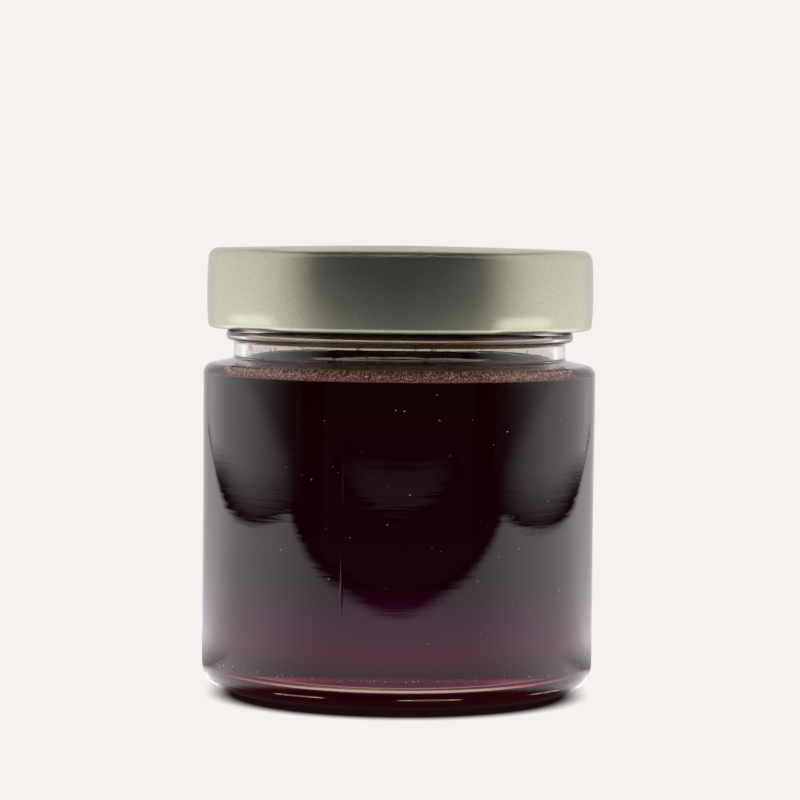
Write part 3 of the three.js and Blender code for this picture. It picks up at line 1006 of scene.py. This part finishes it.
def place_on(tree):
    """The sockets X, Y and Z of the point on a card, in metres."""
    parts = tree.nodes.new("ShaderNodeSeparateXYZ")
    tree.links.new(object_point(tree), parts.inputs["Vector"])
    return parts.outputs["X"], parts.outputs["Y"], parts.outputs["Z"]


def length_of(tree, x, y):
    """The socket of a level distance: sqrt(x*x + y*y)."""
    squares = [figure(tree, "MULTIPLY", side, side) for side in (x, y)]
    return figure(tree, "SQRT", figure(tree, "ADD", *squares))


# %% Contact shadow
# The shadow is the space within a radius of a short line that runs forward from the jar's middle.
contact, given, result = new_group(
    "contact_shadow",
    {"Forward": 0.010, "Inner": 0.031, "Outer": 0.037},
    {"Light": "NodeSocketFloat"},
)
shadow_x, shadow_y, _ = place_on(contact)
nearest = contact.nodes.new("ShaderNodeClamp")
contact.links.new(figure(contact, "MULTIPLY", shadow_y, -1.0), nearest.inputs["Value"])
contact.links.new(given.outputs["Forward"], nearest.inputs["Max"])
shadow_y = figure(contact, "ADD", shadow_y, nearest.outputs["Result"])
distance = length_of(contact, shadow_x, shadow_y)
shadow_step = softly(contact, distance, given.outputs["Inner"], given.outputs["Outer"])
contact.links.new(shadow_step, result.inputs["Light"])

# %% Paper floor
# The camera sees this floor, and nothing is lit or reflected by it. The table below it does that.
FLOOR_SIZE, FLOOR_HEIGHT = 6.0, -5e-5
half = FLOOR_SIZE / 2.0
floor_square = ((-half, -half), (half, -half), (half, half), (-half, half))
floor_corners = [(*corner, FLOOR_HEIGHT) for corner in floor_square]
floor, floor_tree, floor_glow = emitter("paper_floor", floor_corners, PAPER, seen_by_camera=True)
for kind in ("diffuse", "glossy", "transmission", "volume_scatter"):
    setattr(floor, f"visible_{kind}", False)
floor_light = place_group(floor_tree, contact).outputs["Light"]
# The floor's colour goes from paper to a painted contact shadow under the jar.
floor_paper_and_shadow = ramp(floor_tree, floor_light, [(0.0, linear(28, 11, 15)), (1.0, PAPER)])
floor_tree.links.new(floor_paper_and_shadow, floor_glow.inputs["Color"])

# %% Table top
# The table's light fades at each edge, under the jar, in the jar's painted shadow before it, and in a
# painted shadow close behind it.
TABLE_X, TABLE_Y = (-0.420, 0.409), (-0.245, 0.65)
TABLE_EDGE = 0.045
TABLE_FRONT = (-0.21, -0.17)  # where the front edge fades in, at its middle
FRONT_BEND = 0.018  # the table reaches this much further forward beside its middle
FRONT_SLANT = 0.02
tree, glow = level_card("table_top", SET_X, TABLE_Y, TABLE_HEIGHT)
x, y, _ = place_on(tree)
length = length_of(tree, x, y)
frontal = figure(tree, "DIVIDE", figure(tree, "MULTIPLY", y, -1.0), length)
before = softly(tree, frontal, 0.2, 0.9, 1.65, 0.9)
behind = softly(tree, frontal, -0.95, -0.5, 0.8, 1.65)
bend = softly(tree, figure(tree, "ABSOLUTE", x), 0.0, 0.12, 0.0, FRONT_BEND)
front_y = chain(tree, "ADD", y, bend, figure(tree, "MULTIPLY", x, FRONT_SLANT))
widen = softly(tree, y, 0.20, 0.60, 0.0, 0.035)
left_x = figure(tree, "ADD", x, widen)
right_x = figure(tree, "SUBTRACT", x, widen)
# Painted shadow: the table grows dim close behind the jar.
jar_shadow_behind = softly(tree, length, 0.05, 0.11, 0.25, 1.0)
level = chain(
    tree,
    "MULTIPLY",
    figure(tree, "MINIMUM", before, behind),
    softly(tree, left_x, TABLE_X[0], TABLE_X[0] + TABLE_EDGE),
    softly(tree, right_x, TABLE_X[1] - TABLE_EDGE, TABLE_X[1], 1.0, 0.0),
    softly(tree, front_y, *TABLE_FRONT),
    softly(tree, place_group(tree, contact).outputs["Light"], 0.0, 1.0, 0.02, 1.0),
    figure(tree, "MAXIMUM", jar_shadow_behind, softly(tree, y, 0.0, 0.03, 1.0, 0.0)),
)
tree.links.new(level, glow.inputs["Strength"])

# %% Side walls
# A wall's light fades in from the front, further back at the top than at the foot. Its lower edge
# rises a little towards the back.
WALL_Y, WALL_Z = (-0.45, SET_BACK), (-0.02, 0.6)
WALL_SLANT, LOWER_SLANT = 0.14, 0.012
for name, wall_x in zip(("left_wall", "right_wall"), SET_X):
    tree, glow = upright_card(name, (wall_x, wall_x), WALL_Y, WALL_Z)
    _, y, z = place_on(tree)
    slanted = figure(tree, "SUBTRACT", z, figure(tree, "MULTIPLY", y, WALL_SLANT))
    low_reach = softly(tree, slanted, 0.028, 0.048, 0.10, 0.0)
    high_reach = softly(tree, z, 0.045, 0.07, 0.0, 0.18)
    front = softly(tree, chain(tree, "ADD", y, low_reach, high_reach), -0.24, 0.16, 0.0, 1.15)
    spill = softly(tree, y, -0.30, -0.26, 0.0, 0.05)
    lower_edge = figure(tree, "SUBTRACT", z, figure(tree, "MULTIPLY", y, LOWER_SLANT))
    lower_edge = figure(tree, "ADD", lower_edge, softly(tree, y, 0.2, 0.5, 0.0, 0.01))
    level = chain(
        tree,
        "MULTIPLY",
        figure(tree, "ADD", front, spill),
        softly(tree, y, 0.40, SET_BACK, 1.0, 0.75),
        softly(tree, z, 0.045, 0.06, 1.0, 0.82),
        softly(tree, lower_edge, -0.003, 0.013),
    )
    tree.links.new(level, glow.inputs["Strength"])

# %% Back wall, top and front
upright_card("back_wall", SET_X, (SET_BACK, SET_BACK), (-0.02, 0.9), 0.8)
tree, glow = level_card("top_light", (-0.36, 0.34), (0.15, SET_BACK), 0.7)
_, y, _ = place_on(tree)
tree.links.new(softly(tree, y, 0.18, 0.36, 0.0, 1.4), glow.inputs["Strength"])
tree, glow = level_card("front_strip", (-0.35, 0.33), (-0.60, -0.43), TABLE_HEIGHT)
x, y, _ = place_on(tree)
level = chain(
    tree,
    "MULTIPLY",
    softly(tree, y, -0.60, -0.49, 0.0, 0.16),
    softly(tree, y, -0.475, -0.44, 1.0, 0.0),
    softly(tree, figure(tree, "ABSOLUTE", x), 0.10, 0.33, 1.0, 0.0),
)
tree.links.new(level, glow.inputs["Strength"])

# %% Row of lamps
LAMP_PITCH = 0.040
tree, glow = level_card("lamp_row", (-0.36, 0.36), (-0.27, -0.25), 0.45)
x, _, _ = place_on(tree)
phase = figure(tree, "PINGPONG", x, LAMP_PITCH / 2.0)
tree.links.new(softly(tree, phase, 0.003, 0.006, 14.0, 0.2), glow.inputs["Strength"])

# %% Room
# The camera sees paper all round, and every other ray sees a dark room.
world = bpy.data.worlds.new("studio")
bpy.context.scene.world = world
world.use_nodes = True
world_tree = world.node_tree
backdrop = world_tree.nodes["Background"]
backdrop.inputs["Color"].default_value = PAPER
room = world_tree.nodes.new("ShaderNodeBackground")
room.inputs["Color"].default_value = (0.018, 0.023, 0.023, 1.0)
chosen = world_tree.nodes.new("ShaderNodeMixShader")
path = world_tree.nodes.new("ShaderNodeLightPath")
world_tree.links.new(path.outputs["Is Camera Ray"], chosen.inputs["Fac"])
world_tree.links.new(room.outputs["Background"], chosen.inputs[1])
world_tree.links.new(backdrop.outputs["Background"], chosen.inputs[2])
world_tree.links.new(chosen.outputs["Shader"], world_tree.nodes["World Output"].inputs["Surface"])

# %% Picture settings
# Light crosses glass, honey and glass again before it is seen, so it needs many bounces.
scene = bpy.context.scene
scene.view_settings.view_transform = "Standard"
scene.view_settings.look = "None"
scene.cycles.max_bounces = 32
scene.cycles.transmission_bounces = 32
scene.cycles.glossy_bounces = 12
scene.cycles.transparent_max_bounces = 16
